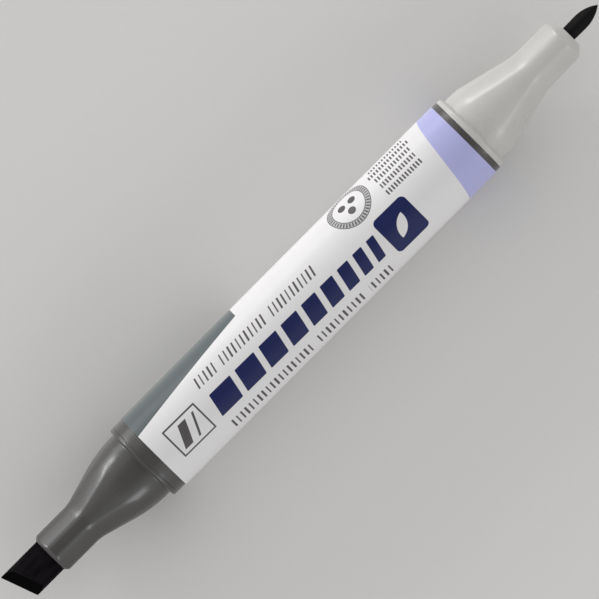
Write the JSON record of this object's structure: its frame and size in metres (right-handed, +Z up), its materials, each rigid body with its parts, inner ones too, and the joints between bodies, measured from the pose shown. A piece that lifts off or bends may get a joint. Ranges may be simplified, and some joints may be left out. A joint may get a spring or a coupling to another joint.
{
  "type": "felt tip marker",
  "caption": "Double-ended felt tip marker without its caps: broad chisel nib at one end, fine pointed nib at the other, round labelled barrel, tapered noses.",
  "frame": {"origin": "on the surface that the marker lies on, under the middle of its length from nib tip to nib tip", "axes": "+X along the marker's axis towards the fine nib, +Z up, +Y towards the long corner of the chisel nib"},
  "size_m": [0.1324, 0.0148, 0.0148],
  "materials": {
    "barrel_plastic": "satin moulded dark grey polypropylene",
    "label_film": "white printed film, satin",
    "broad_nose_plastic": "satin moulded dark grey polypropylene",
    "fine_nose_plastic": "satin moulded milky white polypropylene",
    "chisel_felt": "pressed felt soaked in black ink",
    "fine_nib_fibre": "bonded fibre soaked in black ink",
    "reservoir_fibre": "fibre bundle soaked in ink",
    "reservoir_wrap": "thin clear film"
  },
  "bodies": {
    "barrel": {"barrel": "barrel_plastic", "label_sleeve": "label_film", "reservoir_core": "reservoir_fibre", "reservoir_film": "reservoir_wrap"},
    "broad_nose": {"broad_nose": "broad_nose_plastic"},
    "broad_nib": {"broad_nib": "chisel_felt"},
    "fine_nose": {"fine_nose": "fine_nose_plastic"},
    "fine_nib": {"fine_nib": "fine_nib_fibre"}
  },
  "joints": [
    {"name": "broad_nose_pull", "type": "slide", "parent": "barrel", "child": "broad_nose", "axis": [-1, 0, 0], "range_m": [0, 0.012]},
    {"name": "broad_nib_pull", "type": "slide", "parent": "broad_nose", "child": "broad_nib", "axis": [-1, 0, 0], "range_m": [0, 0.034]},
    {"name": "fine_nose_pull", "type": "slide", "parent": "barrel", "child": "fine_nose", "axis": [1, 0, 0], "range_m": [0, 0.012]},
    {"name": "fine_nib_pull", "type": "slide", "parent": "fine_nose", "child": "fine_nib", "axis": [1, 0, 0], "range_m": [0, 0.034]}
  ]
}
